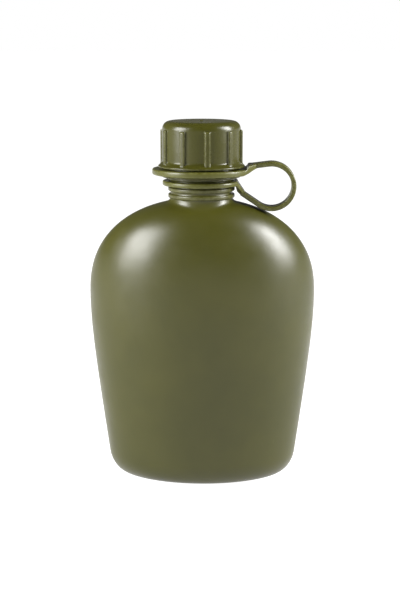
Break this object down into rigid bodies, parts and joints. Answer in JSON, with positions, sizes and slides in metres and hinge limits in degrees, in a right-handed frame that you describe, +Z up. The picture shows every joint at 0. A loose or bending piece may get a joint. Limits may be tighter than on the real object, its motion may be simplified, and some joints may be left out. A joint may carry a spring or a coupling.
{
  "type": "belt canteen",
  "caption": "Flat kidney-shaped plastic canteen with a ribbed screw cap tied to its neck by a moulded strap.",
  "frame": {"origin": "under the middle of the whole object, on the surface that it stands on", "axes": "+Z up through the neck; -Y is the bulging front; +X is the side where the strap loops out"},
  "size_m": [0.137, 0.0704, 0.2186],
  "materials": {
    "bottle_plastic": "blow-moulded olive green polyethylene with a soft satin sheen",
    "cap_plastic": "injection-moulded olive green plastic, satin, a little glossier on its edges",
    "strap_plastic": "soft injection-moulded olive green polyethylene, satin",
    "seal_rubber": "dark moulded rubber sealing ring"
  },
  "bodies": {
    "bottle": {"bottle": "bottle_plastic"},
    "cap": {"cap": "cap_plastic"},
    "cap_seal": {"cap_seal": "seal_rubber"},
    "neck_loop": {"neck_loop": "strap_plastic"},
    "strap_lower_arm": {"strap_lower_arm": "strap_plastic"},
    "strap_bend": {"strap_bend": "strap_plastic"},
    "strap_upper_arm": {"strap_upper_arm": "strap_plastic"},
    "cap_loop": {"cap_loop": "strap_plastic"}
  },
  "joints": [
    {"name": "cap_lift", "type": "slide", "parent": "bottle", "child": "cap_seal", "axis": [0, 0, 1], "range_m": [0, 0.0285]},
    {"name": "cap_turn", "type": "hinge", "parent": "cap_seal", "child": "cap", "pos_m": [0, -0.0032, 0.2182], "axis": [0, 0, 1], "range_deg": [0, 1710]},
    {"name": "strap_swivel", "type": "hinge", "parent": "bottle", "child": "neck_loop", "pos_m": [0, -0.0032, 0.1833], "axis": [0, 0, 1], "continuous": true},
    {"name": "lower_arm_flex", "type": "hinge", "parent": "neck_loop", "child": "strap_lower_arm", "pos_m": [0.02651, -0.0032, 0.17581], "axis": [0, -1, 0], "range_deg": [0, 43.2]},
    {"name": "bend_lower_flex", "type": "hinge", "parent": "strap_lower_arm", "child": "strap_bend", "pos_m": [0.04394, -0.0032, 0.16562], "axis": [0, -1, 0], "range_deg": [-30.6, 0]},
    {"name": "bend_upper_flex", "type": "hinge", "parent": "strap_bend", "child": "strap_upper_arm", "pos_m": [0.0487, -0.0032, 0.19264], "axis": [0, -1, 0], "range_deg": [-56.6, 0]},
    {"name": "upper_arm_flex", "type": "hinge", "parent": "strap_upper_arm", "child": "cap_loop", "pos_m": [0.03053, -0.0032, 0.19055], "axis": [0, -1, 0], "range_deg": [0, 44.1]}
  ],
  "couplings": [
    {"joint": "cap_lift", "follows": "cap_turn", "m_per_rad": 0.00095493},
    {"joint": "lower_arm_flex", "follows": "cap_turn", "ratio": 0.025215},
    {"joint": "bend_lower_flex", "follows": "cap_turn", "ratio": -0.017883},
    {"joint": "bend_upper_flex", "follows": "cap_turn", "ratio": -0.033093},
    {"joint": "upper_arm_flex", "follows": "cap_turn", "ratio": 0.025762}
  ]
}
